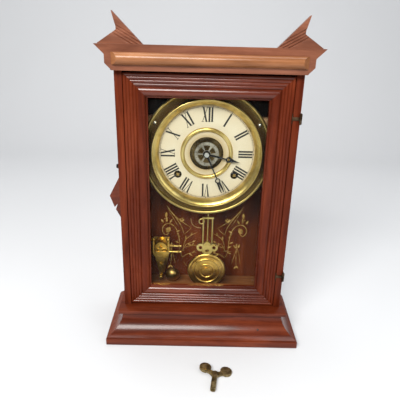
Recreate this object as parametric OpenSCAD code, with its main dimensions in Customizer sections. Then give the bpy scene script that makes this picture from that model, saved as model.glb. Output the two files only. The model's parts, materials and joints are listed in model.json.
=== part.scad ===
// Spring-driven mantel clock with strike and alarm, in a moulded wooden case.
// X runs to the right, Y to the back and Z up. The origin is on the underside
// of the plinth, midway between its sides and midway between its front and back.

/* [Case] */
// Width of the case over its two sides
case_w = 219; // [200:1:264]
// Depth of the case from its front edges to its back
case_d = 80; // [78:1:110]
// Height of the case sides
case_h = 317; // [300:1:382]
// Thickness of each side board
side_t = 9; // [7:0.5:12]
// Thickness of the back board
back_t = 8; // [5:0.5:10]
// Thickness of the floor board
floor_t = 6; // [4:0.5:9]
// Thickness of the top board
top_t = 9; // [6:0.5:12]
// How far the top board runs past each side
top_overhang = 4; // [0:0.5:8]

/* [Base] */
// Thickness of the plinth
plinth_t = 9.5; // [7:0.5:14]
// How far the plinth runs past each side of the case
plinth_side = 22.5; // [20:0.5:30]
// How far the plinth runs in front of the case
plinth_lead = 32; // [28:0.5:40]
// Height of the cove moulding
cove_h = 30.5; // [20:0.5:40]
// How far the cove sweeps inwards
cove_run = 20; // [14:0.5:22]
// Thickness of the step board
step_t = 5; // [4:0.5:9]
// How far the step board runs past each side of the case
step_side = 7; // [4:0.5:10]
// How far the step board runs in front of the case
step_lead = 16; // [10:0.5:20]

/* [Crown] */
// Height of the crown board
crown_h = 28; // [24:0.5:36]
// Thickness of the crown board
crown_t = 8.2; // [6:0.1:12]
// How far each pointed ear runs past the case
ear_side = 19.7; // [12:0.1:26]
// Radius of the half-round moulding
round_r = 6.8; // [4:0.1:9]
// Thickness of the pointed ornaments
ornament_t = 8; // [5:0.5:12]

/* [Door] */
// Thickness of the door frame
door_t = 14; // [13:0.5:16]
// Width of the moulded door frame
frame_w = 28; // [26:0.5:34]
// Gap between the door and each side
door_gap = 0.5; // [0.3:0.1:1.5]
// Gap under the door
door_foot_gap = 2.5; // [1:0.5:5]
// Gap over the door
door_head_gap = 2; // [1:0.5:4]
// Distance from one reed of the frame to the next
reed_pitch = 3.8; // [3.2:0.1:4.2]
// Thickness of the glass
glass_t = 2; // [1.5:0.1:3]
// Height of each hinge
hinge_h = 12; // [10:0.5:24]
// Distance from a hinge to the door's end
hinge_inset = 48; // [30:1:80]

/* [Dial] */
// Distance from the door's top to the dial's centre
dial_drop = 99; // [92:0.5:104]
// Distance from the case's front edges to the dial paper
dial_depth = 22; // [21:0.5:26]
// Outer radius of the dial pan
pan_r = 83; // [81:0.5:86]
// Outer radius of the bezel
bezel_r = 70; // [68:0.5:72]
// Inner radius of the bezel
bezel_bore_r = 61.2; // [58:0.1:63]
// How far the bezel stands in front of the dial paper
bezel_rise = 10; // [7:0.5:10]
// Radius of the hole at the dial's centre
centre_hole_r = 20.4; // [18:0.1:24]
// Radius of the two winding holes
winding_hole_r = 5; // [4:0.1:6]
// Length of the minute hand
minute_hand_l = 55; // [48:0.5:60]
// Length of the hour hand
hour_hand_l = 44; // [36:0.5:48]
// Radius of the alarm setting disc
alarm_disc_r = 15.6; // [13:0.1:18]

/* [Movement] */
// Distance between the two movement plates
plate_gap = 24; // [24:0.5:30]
// Thickness of each movement plate
plate_t = 1.5; // [1:0.1:2.5]
// Sideways distance from the hands to each winding arbor
winding_x = 36.7; // [36:0.1:40]
// Distance from the hands down to the winding arbors
winding_drop = 28.3; // [26:0.1:31]
// Radius of each mainspring
mainspring_r = 20; // [14:0.5:21]
// Radial clearance of each arbor in its hole
running_gap = 0.1; // [0.02:0.01:0.1]

/* [Pendulum] */
// Radius of the pendulum bob
bob_r = 27.5; // [18:0.5:33]
// Thickness of the pendulum bob
bob_t = 6; // [4:0.5:9]
// Gap between the bob and the floor board
bob_floor_gap = 6.5; // [4:0.5:20]
// Sideways offset of the pendulum from the dial's centre
pendulum_x = 5; // [2:0.5:8]

/* [Key] */
// Width of the key over its two wings
key_w = 42; // [32:1:60]
// Length of the key from the middle of its wings to its tip
key_l = 33; // [24:1:60]

/* [Hidden] */
$fn = 48;
eps = 0.01;

// Levels and planes of the case
base_w = case_w + 2 * plinth_side;
base_d = case_d + plinth_lead + 1;
case_front = -base_d / 2 + plinth_lead;
case_back = case_front + case_d;
step_top = plinth_t + cove_h + step_t;
floor_top = step_top + floor_t;
case_top = step_top + case_h;
inner_x = case_w / 2 - side_t;
board_front = case_back - back_t;
floor_front = case_front + door_t + 1.5;

// Cove moulding: the lip it starts from and the radius of its hollow
cove_lip = 2;
cove_rise = cove_h - cove_lip;
cove_r = (cove_run * cove_run + cove_rise * cove_rise) / (2 * cove_run);
cove_out = 1.5;
cove_half = base_w / 2 - cove_out;
cove_front = -base_d / 2 + cove_out;

// Wood screws that hold metal to the case
screw_hole_r = 1.2;
screw_depth = 6;

// Crown outline, given for the right half
crown_foot = case_top + 0.4;
crown_head = crown_foot + crown_h;
crown_front = case_front - crown_t;
ear_x = case_w / 2 + ear_side;
round_z = crown_foot + 13;

// Door frame
door_x = inner_x - door_gap;
door_foot = step_top + door_foot_gap;
door_head = case_top - door_head_gap;
reed_count = 4;
reed_r = 2.2;
bead_start = reed_count * reed_pitch;
bead_end = frame_w - 2;
bead_r = 6.5;
bead_crest = -1.3;
lip_y = 3.5;
glass_y = 8;
rabbet_w = frame_w - 6;
fit_gap = 0.3;
hinge_x = case_w / 2 - 0.2;
hinge_y = case_front - 2.3;
knuckle_r = 1.7;
pin_r = 0.9;
leaf_t = 0.8;
hinge_levels = [door_foot + hinge_inset, door_head - hinge_inset];
knuckle_gap = 0.3;
knuckle_h = (hinge_h - 2 * knuckle_gap) / 3;
door_w = 2 * door_x;
door_h = door_head - door_foot;
glass_x = door_x - rabbet_w - fit_gap;
glass_foot = door_foot + rabbet_w + fit_gap;
glass_head = door_head - rabbet_w - fit_gap;

// The beads fill part of the room between the rabbet and the bezel that stands inside it
bezel_room = min(glass_x, dial_drop - rabbet_w - fit_gap) - bezel_r;
glass_bead_w = 0.6 * bezel_room;

// Catch on the left side, and the side ornament below it
catch_z = step_top + 201;
catch_y = case_front + 8;
catch_pin_r = 1.5;
wing_z = step_top + 157;
wing_y = case_front + 10;

// Dial and hands
dial_z = door_head - dial_drop;
paper_y = case_front + dial_depth;
paper_t = 0.3;
pan_y = paper_y + paper_t;
pan_t = 1;
pan_back = pan_y + pan_t;
ring_r = 31;

// Bezel section: the depth of its inner edge, and the centre and radius of its face
bezel_foot = 0.8;
bezel_bead_r = 1.1;
bezel_face_r = 14;
bezel_inner = [bezel_bore_r, -bezel_foot];
bezel_outer = [bezel_r, -bezel_rise];
bezel_chord = (bezel_outer - bezel_inner) / norm(bezel_outer - bezel_inner);
bezel_centre = (bezel_inner + bezel_outer) / 2
    + sqrt(bezel_face_r ^ 2 - norm(bezel_outer - bezel_inner) ^ 2 / 4) * [-bezel_chord[1], bezel_chord[0]];

// Screws, hands and the depths of what turns in front of the paper
screw_angle = 30.3;
screw_r = pan_r - 7.5;
screw_x = screw_r * cos(screw_angle);
screw_z = dial_z + screw_r * sin(screw_angle);
screw_head_r = 2.6;
pan_rim_r = 2.2;
hands_time = [3, 26];
minute_angle = 90 - 6 * hands_time[1];
hour_angle = 90 - 30 * (hands_time[0] + hands_time[1] / 60);
disc_y = paper_y - 3;
hour_hand_y = paper_y - 4.5;
minute_hand_y = paper_y - 6.9;
hand_t = 0.6;

// Movement planes, from the front plate to the back board
plate_front = paper_y + 13;
plate_back = plate_front + plate_t + plate_gap;
train_y = plate_front + plate_t;
third_y = train_y + 1;
centre_wheel_y = train_y + 3;
spring_y = train_y + 5.5;
spring_h = 12;
great_y = plate_back - 5;
strike_great_y = plate_back - 2.1;
motion_y = plate_front - 3;
hour_wheel_y = plate_front - 6;
crutch_y = plate_front - 3.8;
wheel_t = 1;

// Tooth counts and modules; a pair's centre distance fixes its module
great_teeth = 48;
centre_pinion_teeth = 18;
wheel_teeth = 48;
pinion_teeth = 8;
cannon_teeth = 12;
minute_wheel_teeth = 36;
minute_pinion_teeth = 10;
hour_wheel_teeth = 40;
escape_teeth = 30;
third_module = 1.05;
escape_module = 0.9;
motion_distance = 15;
motion_angle = 135;
motion_module = 2 * motion_distance / (cannon_teeth + minute_wheel_teeth);
hour_module = 2 * motion_distance / (minute_pinion_teeth + hour_wheel_teeth);

// Places of the arbors, as x and z
hands_at = [0, dial_z];
time_at = [winding_x, dial_z - winding_drop];
strike_at = [-winding_x, dial_z - winding_drop];
escape_at = [pendulum_x, dial_z - 54];
verge_at = [pendulum_x, dial_z - 26];
minute_wheel_at = hands_at + motion_distance * [cos(motion_angle), sin(motion_angle)];
great_distance = norm(time_at - hands_at);
great_module = 2 * great_distance / (great_teeth + centre_pinion_teeth);
third_distance = third_module * (wheel_teeth + pinion_teeth) / 2;
escape_distance = escape_module * (wheel_teeth + pinion_teeth) / 2;
third_at = arbor_between(hands_at, escape_at, third_distance, escape_distance);
pin_wheel_at = strike_at + great_distance * [cos(82), sin(82)];
hammer_at = hands_at + [-38, 41];
bell_at = hands_at + [0, 74];
bell_r = 20;
pillars_at = [hands_at + [-22, -65], hands_at + [22, -65], hands_at + [-48, 43], hands_at + [48, 43]];
arbor_r = 1.5;
pivot_r = 1;
escape_r = 14;
pillar_r = 3.2;
pillar_pin_r = 2;

// Pendulum
pendulum_y = plate_front - 5;
bob_z = floor_top + bob_floor_gap + bob_r;
casting_z = bob_z + bob_r - 2;
casting_h = 21;
grid_foot = casting_z + casting_h - 3;
grid_head = grid_foot + 40;
grid_half = 6.4;

// Alarm work at the lower left of the back board
alarm_x = -inner_x + 38;
alarm_z = floor_top + 50;
alarm_half = 12;
alarm_front = board_front - 25;
alarm_plate_t = 1.2;
alarm_barrel_at = [alarm_x, alarm_z + 8];
alarm_bell_at = [alarm_x + 17, floor_top + 13];
alarm_bell_r = 11.5;
alarm_hammer_at = [alarm_x, alarm_z - 18];
alarm_feet = [for (p = [[-8.5, 0], [8.5, 0], [0, -37]]) [alarm_x, alarm_z] + p];
alarm_front_outline = [[alarm_half, 4], [alarm_half, 0], [8, -6], [5, -16], [3.2, -29], [1.6, -42]];
alarm_back_outline = [[alarm_half, 19], [alarm_half, -6], [4, -42]];

// Winding key, lying in front of the clock
key_at = [17.8, -base_d / 2 - 46];
key_turn = -8;
key_stem_r = 3.4;
key_t = 2.4;
key_tilt = asin((key_stem_r - key_t / 2) / (key_w / 2));
key_square = 3.8;
wing_r = 0.18 * key_w;

// ---- Functions ----

// Centre of an arbor at distances a from p and b from q, on the left of the line p to q
function arbor_between(p, q, a, b) =
    let (d = norm(q - p), u = (q - p) / d, s = (a * a - b * b + d * d) / (2 * d),
         h = sqrt(max(a * a - s * s, 0)))
    p + s * u + h * [u[1], -u[0]];

// Direction from p to q, in degrees
function bearing(p, q) = atan2(q[1] - p[1], q[0] - p[0]);

// Outline of a toothed wheel with a tooth centred on the angle given
function tooth_outline(teeth, module_mm, turn) =
    let (pitch_r = teeth * module_mm / 2, step = 360 / teeth,
         tip_r = pitch_r + 0.6 * module_mm, root_r = pitch_r - 0.85 * module_mm)
    [for (i = [0 : teeth - 1], k = [[-0.29, root_r], [-0.1, tip_r], [0.1, tip_r], [0.29, root_r]])
        k[1] * [cos(turn + (i + k[0]) * step), sin(turn + (i + k[0]) * step)]];

// Outline of a flat spiral strip from radius a to radius b
function spiral_outline(a, b, turns, strip, sides) =
    let (n = turns * sides, at = function(i, off)
            (a + (b - a) * i / n + off) * [cos(360 * i / sides), sin(360 * i / sides)])
    concat([for (i = [0 : n]) at(i, 0)], [for (i = [n : -1 : 0]) at(i, strip)]);

// An outline given for the right half, closed by its mirror image
function both_ways(half) =
    concat(half, [for (i = [len(half) - 1 : -1 : 0]) [-half[i][0], half[i][1]]]);

// ---- Helpers ----

// A box from its low corner to its high corner
module block(low, high) translate(low) cube(high - low);

// A front-view outline made into a plate from depth y to depth y + t
module plate(y, t) translate([0, y + t, 0]) rotate([90, 0, 0]) linear_extrude(t) children();

// A round bar along Y, centred on a front-view point
module bar(at, r, y_a, y_b) translate([at[0], y_a, at[1]]) rotate([-90, 0, 0])
    cylinder(r = r, h = y_b - y_a);

// A toothed wheel or pinion in the front view
module toothed(at, teeth, module_mm, turn) translate(at) polygon(tooth_outline(teeth, module_mm, turn));

// The crossings cut out of a wheel, leaving straight spokes
module crossings(at, r_in, r_out, spokes) translate(at) difference() {
    circle(r_out);
    circle(r_in);
    for (i = [0 : spokes - 1]) rotate(i * 360 / spokes) translate([0, -1.2]) square([r_out + 1, 2.4]);
}

// Mirrors its children to both sides
module both_sides() for (s = [0, 1]) mirror([s, 0, 0]) children();

// ---- Base ----

module base_plinth() color("#4a1a14")
    block([-base_w / 2, -base_d / 2, 0], [base_w / 2, base_d / 2, plinth_t]);

// Section of the cove: u runs inwards from the plinth's edge and v runs up
module cove_section() difference() {
    square([cove_run + 8, cove_h]);
    translate([cove_run - cove_r, cove_h]) circle(cove_r, $fn = 96);
}

module base_cove_front() color("#54201a") difference() {
    translate([-cove_half, cove_front, plinth_t]) rotate([90, 0, 90])
        linear_extrude(2 * cove_half) cove_section();
    both_sides() translate([cove_half, cove_front, plinth_t - 1]) rotate([0, 0, 135])
        translate([-5, -60, 0]) cube([90, 60, cove_h + 2]);
}

module base_cove_sides() color("#54201a") both_sides() difference() {
    translate([cove_half, case_back, plinth_t]) rotate([90, 0, 0])
        linear_extrude(case_back - cove_front) mirror([1, 0]) cove_section();
    translate([cove_half, cove_front, plinth_t - 1]) rotate([0, 0, 135])
        translate([-5, 0, 0]) cube([90, 60, cove_h + 2]);
}

module base_step_board() color("#5a2018")
    block([-case_w / 2 - step_side, case_front - step_lead, step_top - step_t],
          [case_w / 2 + step_side, case_back, step_top]);

// ---- Case ----

module case_side() difference() {
    block([-case_w / 2, case_front, step_top], [-inner_x, case_back, case_top]);
    translate([-case_w / 2 - 1, catch_y, catch_z]) rotate([0, 90, 0])
        cylinder(r = catch_pin_r + running_gap, h = side_t + 2);
}

module case_side_left() color("#8a4a34") case_side();

module case_side_right() color("#8a4a34")
    block([inner_x, case_front, step_top], [case_w / 2, case_back, case_top]);

module case_floor() color("#8a4a2a")
    block([-inner_x, floor_front, step_top], [inner_x, board_front, floor_top]);

module case_top_board() color("#7a3a28")
    block([-case_w / 2 - top_overhang, case_front, case_top],
          [case_w / 2 + top_overhang, case_back, case_top + top_t]);

module case_back_board() color("#5c2a1c") difference() {
    block([-inner_x, board_front, step_top], [inner_x, case_back, case_top]);
    for (p = pillars_at) bar(p, screw_hole_r, board_front - 1, board_front + screw_depth);
    bar(bell_at, screw_hole_r, board_front - 1, board_front + screw_depth);
    bar(alarm_bell_at, screw_hole_r, board_front - 1, board_front + screw_depth);
}

// ---- Crown ----

module crown_board() color("#a5705a") plate(crown_front, crown_t)
    polygon(both_ways([[case_w / 2 + 0.8, crown_foot], [case_w / 2 + 8.5, crown_foot + 7.7],
        [case_w / 2 + 8.5, crown_head - 10.8], [ear_x, crown_head]]));

module both_sides_2d() for (s = [0, 1]) mirror([s, 0]) children();

module crown_half_round() color("#b98a52") difference() {
    translate([-case_w / 2 - 0.8, crown_front, round_z]) rotate([0, 90, 0])
        cylinder(r = round_r, h = case_w + 1.6);
    block([-case_w, crown_front, round_z - 10], [case_w, crown_front + 10, round_z + 10]);
    both_sides() translate([case_w / 2 + 0.8, crown_front, round_z - 10]) rotate([0, 0, -45])
        translate([0, -20, 0]) cube([20, 40, 20]);
}

// Grooves between the reeds of a pointed ornament, falling away from a point
module reed_grooves(at, slope, length, count, y) translate([at[0], y, at[1]]) rotate([0, slope, 0])
    for (i = [0 : count - 1]) translate([-length, 0, -2.95 * i]) rotate([45, 0, 0])
        cube([2 * length, 1.5, 1.5]);

// Pointed ornament for the right-hand end of the crown
module crown_ornament() {
    x = case_w / 2;
    difference() {
        plate(case_front, ornament_t) polygon([[x - 44, case_top + top_t], [x + 2.5, case_top + top_t],
            [x + 7.5, crown_head - 10.4], [x + 17.2, crown_head + 0.4], [x - 4.3, crown_head + 14.6],
            [x - 4.5, crown_head + 17.6], [x, crown_head + 34.2], [x - 32.7, crown_head + 1],
            [x - 42, crown_head - 8]]);
        reed_grooves([x - 4.6, crown_head + 17.9], -28.7, 60, 4, case_front);
    }
}

module crown_ornament_right() color("#a06a54") crown_ornament();

module crown_ornament_left() color("#a06a54") mirror([1, 0, 0]) crown_ornament();

module side_ornament_left() color("#4a2218") difference() {
    plate(wing_y, ornament_t) translate([-case_w / 2, wing_z]) polygon([[0, 32], [-14.9, 3],
        [-9.2, -13], [-5.2, -8.2], [-7.8, -16], [0, -31]]);
    for (i = [0 : 2]) translate([-case_w / 2 - 20, wing_y, wing_z + 16 - 5 * i]) rotate([0, -62, 0])
        rotate([45, 0, 0]) translate([2, 0, 0]) cube([30, 1.2, 1.2]);
}

// ---- Door ----

// Section of the door frame: u runs inwards from the door's edge and v runs to the back
module frame_section() difference() {
    union() {
        translate([0, 1.6]) square([bead_start + 1, door_t - 1.6]);
        for (i = [0 : reed_count - 1]) translate([(i + 0.5) * reed_pitch, 2.4]) circle(reed_r);
        translate([bead_start, 1.6]) square([bead_end - bead_start, door_t - 1.6]);
        intersection() {
            translate([(bead_start + bead_end) / 2, bead_crest + bead_r]) circle(bead_r);
            translate([bead_start, -5]) square([bead_end - bead_start, 12]);
        }
        translate([bead_start, lip_y]) square([frame_w - bead_start, door_t - lip_y]);
    }
    translate([rabbet_w, glass_y]) square([frame_w, door_t]);
    translate([-5, -5]) square([5, 30]);
}

// A length of frame along X, with its outer edge at the origin and both ends mitred
module frame_member(length) difference() {
    rotate([90, 0, 90]) linear_extrude(length) mirror([1, -1]) frame_section();
    translate([0, -10, 0]) rotate([0, 45, 0]) translate([-60, 0, -10]) cube([60, 40, 70]);
    translate([length, -10, 0]) rotate([0, -45, 0]) translate([0, 0, -10]) cube([60, 40, 70]);
}

module door_rail_bottom() color("#7a3428")
    translate([-door_x, case_front, door_foot]) frame_member(door_w);

module door_rail_top() color("#7a3428")
    translate([-door_x, case_front, door_head]) mirror([0, 0, 1]) frame_member(door_w);

module door_stile() translate([-door_x, case_front, door_head]) rotate([0, 90, 0]) frame_member(door_h);

module door_stile_left() color("#7a3428") difference() {
    door_stile();
    translate([-door_x - 1, catch_y, catch_z]) rotate([0, 90, 0])
        cylinder(r1 = catch_pin_r + 1, r2 = catch_pin_r, h = 2);
}

module door_stile_right() color("#7a3428") difference() {
    mirror([1, 0, 0]) door_stile();
    for (z = hinge_levels) block([door_x - leaf_t, case_front - 5, z - hinge_h / 2],
        [door_x + 1, case_front + 11, z + hinge_h / 2]);
}

module door_glass() color([0.85, 0.9, 0.9, 0.25])
    block([-glass_x, case_front + glass_y, glass_foot],
        [glass_x, case_front + glass_y + glass_t, glass_head]);

module glass_beads() color("#5c2a20") {
    y_a = case_front + glass_y + glass_t;
    y_b = case_front + door_t - 0.2;
    block([-glass_x, y_a, glass_foot], [glass_x, y_b, glass_foot + glass_bead_w]);
    block([-glass_x, y_a, glass_head - glass_bead_w], [glass_x, y_b, glass_head]);
    both_sides() block([glass_x - glass_bead_w, y_a, glass_foot + glass_bead_w + fit_gap],
        [glass_x, y_b, glass_head - glass_bead_w - fit_gap]);
}

// ---- Hinges and catch ----

module knuckle(z) translate([hinge_x, hinge_y, z]) cylinder(r = knuckle_r, h = knuckle_h);

// Outer knuckles, a leaf on the outside of the case and the pin, at each hinge
module hinge_case_leaves() color("#4a3824") for (z = hinge_levels) {
    foot = z - hinge_h / 2;
    face = case_w / 2;
    knuckle(foot);
    knuckle(z + hinge_h / 2 - knuckle_h);
    for (k = [foot, z + hinge_h / 2 - knuckle_h])
        block([face, hinge_y, k], [face + leaf_t, case_front + 1, k + knuckle_h]);
    block([face, case_front + 0.2, foot], [face + leaf_t, case_front + 9, z + hinge_h / 2]);
    translate([hinge_x, hinge_y, foot - 0.8]) cylinder(r = pin_r, h = hinge_h + 1.6);
}

// Middle knuckle and a leaf that turns back into the door's edge, at each hinge
module hinge_door_leaves() color("#4a3824") for (z = hinge_levels) difference() {
    union() {
        knuckle(z - knuckle_h / 2);
        block([door_x - leaf_t, case_front - 0.4 - leaf_t, z - knuckle_h / 2],
            [hinge_x, case_front - 0.4, z + knuckle_h / 2]);
        block([door_x - leaf_t, case_front - 0.4 - leaf_t, z - hinge_h / 2],
            [door_x, case_front + 11, z + hinge_h / 2]);
    }
    translate([hinge_x, hinge_y, z - hinge_h]) cylinder(r = pin_r + running_gap, h = 2 * hinge_h);
}

// Pull knob on a spring bolt that passes through the left side to the door's edge
module catch_knob() color("#1c1c1c") translate([-case_w / 2, catch_y, catch_z]) rotate([0, 90, 0]) {
    cylinder(r = catch_pin_r, h = side_t);
    translate([0, 0, -0.6]) cylinder(r = 1.2, h = 1);
    translate([0, 0, -3.6]) cylinder(r1 = 2.2, r2 = 3, h = 1.5);
    translate([0, 0, -2.1]) cylinder(r1 = 3, r2 = 1.8, h = 1.6);
}

// ---- Dial ----

// Turns a section about the dial's axis: x is the radius and y the depth from the front
module about_dial(y) translate([0, y, dial_z]) rotate([-90, 0, 0]) rotate_extrude($fn = 96) children();

module winding_holes(r, y_a, y_b) for (p = [time_at, strike_at]) bar(p, r, y_a, y_b);

module dial_pan() color("#9a8440") difference() {
    about_dial(pan_y) union() {
        translate([centre_hole_r, 0]) square([pan_r - pan_rim_r - centre_hole_r, pan_t]);
        translate([pan_r - pan_rim_r, pan_t - pan_rim_r]) circle(pan_rim_r);
        translate([centre_hole_r, 0]) square([1, 3.5]);
    }
    winding_holes(winding_hole_r, pan_y - 2, pan_y + 4);
    both_sides() bar([screw_x, screw_z], screw_hole_r, pan_y - 2, pan_y + 4);
}

module dial_paper() color("#e8dcc4") difference() {
    about_dial(paper_y) translate([centre_hole_r + 1, 0])
        square([bezel_bore_r + 1 - centre_hole_r, paper_t]);
    winding_holes(winding_hole_r, paper_y - 1, paper_y + 1);
}

// Convex ring that stands around the dial paper, with a rolled outer edge
module dial_bezel() color("#c09a3c") about_dial(paper_y) {
    intersection() {
        translate(bezel_centre) circle(bezel_face_r);
        translate([bezel_bore_r, -bezel_rise]) square([bezel_r - bezel_bore_r, bezel_rise]);
    }
    translate([bezel_r - bezel_bead_r, -bezel_rise + 0.3]) circle(bezel_bead_r);
}

module dial_centre_ring() color("#c8a850") about_dial(paper_y) difference() {
    translate([ring_r, 0]) circle(2.7);
    translate([0, 0]) square([60, 20]);
}

module dial_screws() color("silver") both_sides() {
    bar([screw_x, screw_z], screw_hole_r, pan_y, pan_y + 12);
    difference() {
        translate([screw_x, pan_y, screw_z]) sphere(screw_head_r);
        block([screw_x - 5, pan_y, screw_z - 5], [screw_x + 5, pan_y + 9, screw_z + 5]);
    }
}

module dial_blocks() color("#6a3a24") both_sides() difference() {
    block([screw_x - 6, pan_back, screw_z - 8], [inner_x, pan_back + 12, screw_z + 8]);
    bar([screw_x, screw_z], screw_hole_r, pan_y, pan_y + 12);
}

// ---- Hands ----

// A straight hand shaft that starts at the hub, in the front view
module shaft_outline(from, to, w_a, w_b)
    polygon([[from, -w_a / 2], [to, -w_b / 2], [to, w_b / 2], [from, w_a / 2]]);

module minute_hand() color("#101010") plate(minute_hand_y, hand_t) translate(hands_at) rotate(minute_angle)
    difference() {
        union() {
            circle(3.4);
            shaft_outline(2, minute_hand_l - 20, 2.2, 1.4);
            translate([minute_hand_l - 17.5, 0]) circle(3.6);
            polygon([[minute_hand_l - 15, -2.4], [minute_hand_l - 5, -2.8], [minute_hand_l, -2],
                [minute_hand_l, 2], [minute_hand_l - 5, 2.8], [minute_hand_l - 15, 2.4]]);
        }
        circle(2);
        translate([minute_hand_l - 17.5, 0]) circle(2.1);
        polygon([[minute_hand_l - 12.5, 0], [minute_hand_l + 1, -1.5], [minute_hand_l + 1, 1.5]]);
    }

module hour_hand() color("#101010") plate(hour_hand_y, hand_t) translate(hands_at) rotate(hour_angle)
    difference() {
        union() {
            circle(4.8);
            shaft_outline(4, hour_hand_l - 17, 2.4, 1.6);
            translate([hour_hand_l - 15, 0]) circle(3.8);
            polygon([[hour_hand_l - 14, -3.7], [hour_hand_l - 8.5, -1.5], [hour_hand_l, 0],
                [hour_hand_l - 8.5, 1.5], [hour_hand_l - 14, 3.7]]);
        }
        circle(3.2);
        translate([hour_hand_l - 15.4, 0]) circle(1.7);
    }

module hand_nut() color("#c8b070") difference() {
    union() {
        bar(hands_at, 3, minute_hand_y - 1.2, minute_hand_y);
        bar(hands_at, 2.6, minute_hand_y - 2.2, minute_hand_y - 1.2);
    }
    bar(hands_at, 2, minute_hand_y - 1.6, minute_hand_y + 1);
}

module alarm_disc() color("#b8bcc0") plate(disc_y, 0.8) translate(hands_at) difference() {
    circle(alarm_disc_r);
    circle(3.2 + running_gap);
    // Six openings that leave a hub, a rim and six spokes
    for (i = [0 : 5]) rotate(i * 60 + 30) intersection() {
        difference() {
            circle(alarm_disc_r * 0.74);
            circle(5.2);
        }
        polygon([[0, 0], [14, -5.9], [14, 5.9]]);
    }
}

// ---- Movement frame ----

module plate_outline() difference() {
    translate(hands_at) polygon([[-28, -71], [28, -71], [56, -37], [56, 46], [50, 52], [-50, 52],
        [-56, 46], [-56, -37]]);
    for (p = pillars_at) translate(p) circle(pillar_pin_r);
}

module pivot_holes(r) for (p = [third_at, pin_wheel_at, hammer_at, escape_at])
    translate(p) circle(r + running_gap);

module movement_plate_front() color("#b8963c") {
    plate(plate_front, plate_t) difference() {
        plate_outline();
        pivot_holes(pivot_r);
        translate(hands_at) circle(2 + running_gap);
        for (p = [time_at, strike_at]) translate(p) circle(2.6 + running_gap);
    }
    bar(minute_wheel_at, pivot_r, hour_wheel_y - 1, plate_front + eps);
    bar(verge_at, pivot_r, crutch_y, plate_front + eps);
}

module movement_plate_back() color("#b8963c") plate(plate_back, plate_t) difference() {
    plate_outline();
    pivot_holes(pivot_r);
    translate(hands_at) circle(pivot_r + running_gap);
    for (p = [time_at, strike_at]) translate(p) circle(pivot_r + running_gap);
}

module movement_pillars() color("#b09040") for (p = pillars_at) {
    bar(p, pillar_r, train_y, plate_back);
    bar(p, pillar_pin_r, plate_front - 2.4, train_y + eps);
    bar(p, pillar_pin_r, plate_back - eps, plate_back + plate_t);
    bar(p, pillar_r, plate_back + plate_t, board_front);
    bar(p, screw_hole_r, board_front - eps, board_front + screw_depth);
}

module pillar_nuts() color("#8c7440") for (p = pillars_at) difference() {
    plate(plate_front - 2.4, 2.4) translate(p) circle(3.8, $fn = 6);
    bar(p, pillar_pin_r, plate_front - 3, plate_front + 1);
}

// Slotted post that carries the suspension spring
module suspension_post() color("#b8963c") difference() {
    block([pendulum_x - 3, pendulum_y - 2, verge_at[1] + 3], [pendulum_x + 3, plate_front, verge_at[1] + 9]);
    block([pendulum_x - 0.8, pendulum_y - 3, verge_at[1] + 2],
        [pendulum_x + 0.8, pendulum_y + 1.8, verge_at[1] + 7]);
}

module mainsprings() color("#5a6068") for (p = [time_at, strike_at])
    plate(spring_y, spring_h) translate(p) polygon(spiral_outline(5, mainspring_r - 1, 6, 0.9, 20));

// ---- Time train ----

// A winding arbor with its ratchet wheel and its square end at the dial
module winding_arbor(p, ratchet_y) {
    square_side = 3.6;
    bar(p, 2.6, plate_front - 1, great_y + 5 - 0.3);
    bar(p, pivot_r, great_y + 4, plate_back + plate_t);
    plate(pan_y - 1, plate_front - pan_y + 0.5) translate(p) square(square_side, center = true);
    plate(ratchet_y, 0.8) toothed(p, 18, 0.8, 0);
}

module great_wheel(p, y, turn) difference() {
    plate(y, 1.4) toothed(p, great_teeth, great_module, turn);
    plate(y - 1, 4) crossings(p, 11, 27, 4);
    bar(p, 2.6 + running_gap, y - 1, y + 3);
}

module time_winding_arbor() color("#c0a050") winding_arbor(time_at, great_y + 2);

module time_great_wheel() color("#c0a050") great_wheel(time_at, great_y, bearing(time_at, hands_at));

module centre_arbor() color("#b8963c") {
    bar(hands_at, 2, minute_hand_y - 1.6, train_y + 1);
    bar(hands_at, arbor_r, train_y, plate_back - 0.3);
    bar(hands_at, pivot_r, plate_back - 1, plate_back + plate_t);
    plate(motion_y, wheel_t) toothed(hands_at, cannon_teeth, motion_module, motion_angle);
    plate(centre_wheel_y, wheel_t) difference() {
        toothed(hands_at, wheel_teeth, third_module, bearing(hands_at, third_at));
        crossings(hands_at, 6, 20, 4);
    }
    plate(great_y - 0.4, 2.2) toothed(hands_at, centre_pinion_teeth, great_module,
        bearing(hands_at, time_at) + 180 / centre_pinion_teeth);
}

module minute_wheel() color("#c0a050") difference() {
    union() {
        plate(motion_y, wheel_t) toothed(minute_wheel_at, minute_wheel_teeth, motion_module,
            motion_angle + 180 + 180 / minute_wheel_teeth);
        plate(hour_wheel_y - 0.2, motion_y - hour_wheel_y + 0.3)
            toothed(minute_wheel_at, minute_pinion_teeth, hour_module, motion_angle + 180);
    }
    bar(minute_wheel_at, pivot_r + running_gap, hour_wheel_y - 2, plate_front);
}

module hour_wheel() color("#c0a050") difference() {
    union() {
        plate(hour_wheel_y, wheel_t)
            toothed(hands_at, hour_wheel_teeth, hour_module, motion_angle + 180 / hour_wheel_teeth);
        bar(hands_at, 3.2, hour_hand_y, hour_wheel_y + wheel_t);
    }
    bar(hands_at, 2 + running_gap, hour_hand_y - 1, hour_wheel_y + 3);
}

module third_wheel() color("#c0a050") {
    bar(third_at, pivot_r, plate_front, plate_back + plate_t);
    bar(third_at, 1.2, train_y + 0.3, plate_back - 0.3);
    plate(third_y, wheel_t) difference() {
        toothed(third_at, wheel_teeth, escape_module, bearing(third_at, escape_at));
        crossings(third_at, 5, 17, 4);
    }
    plate(centre_wheel_y - 0.3, wheel_t + 0.6) toothed(third_at, pinion_teeth, third_module,
        bearing(third_at, hands_at) + 180 / pinion_teeth);
}

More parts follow.
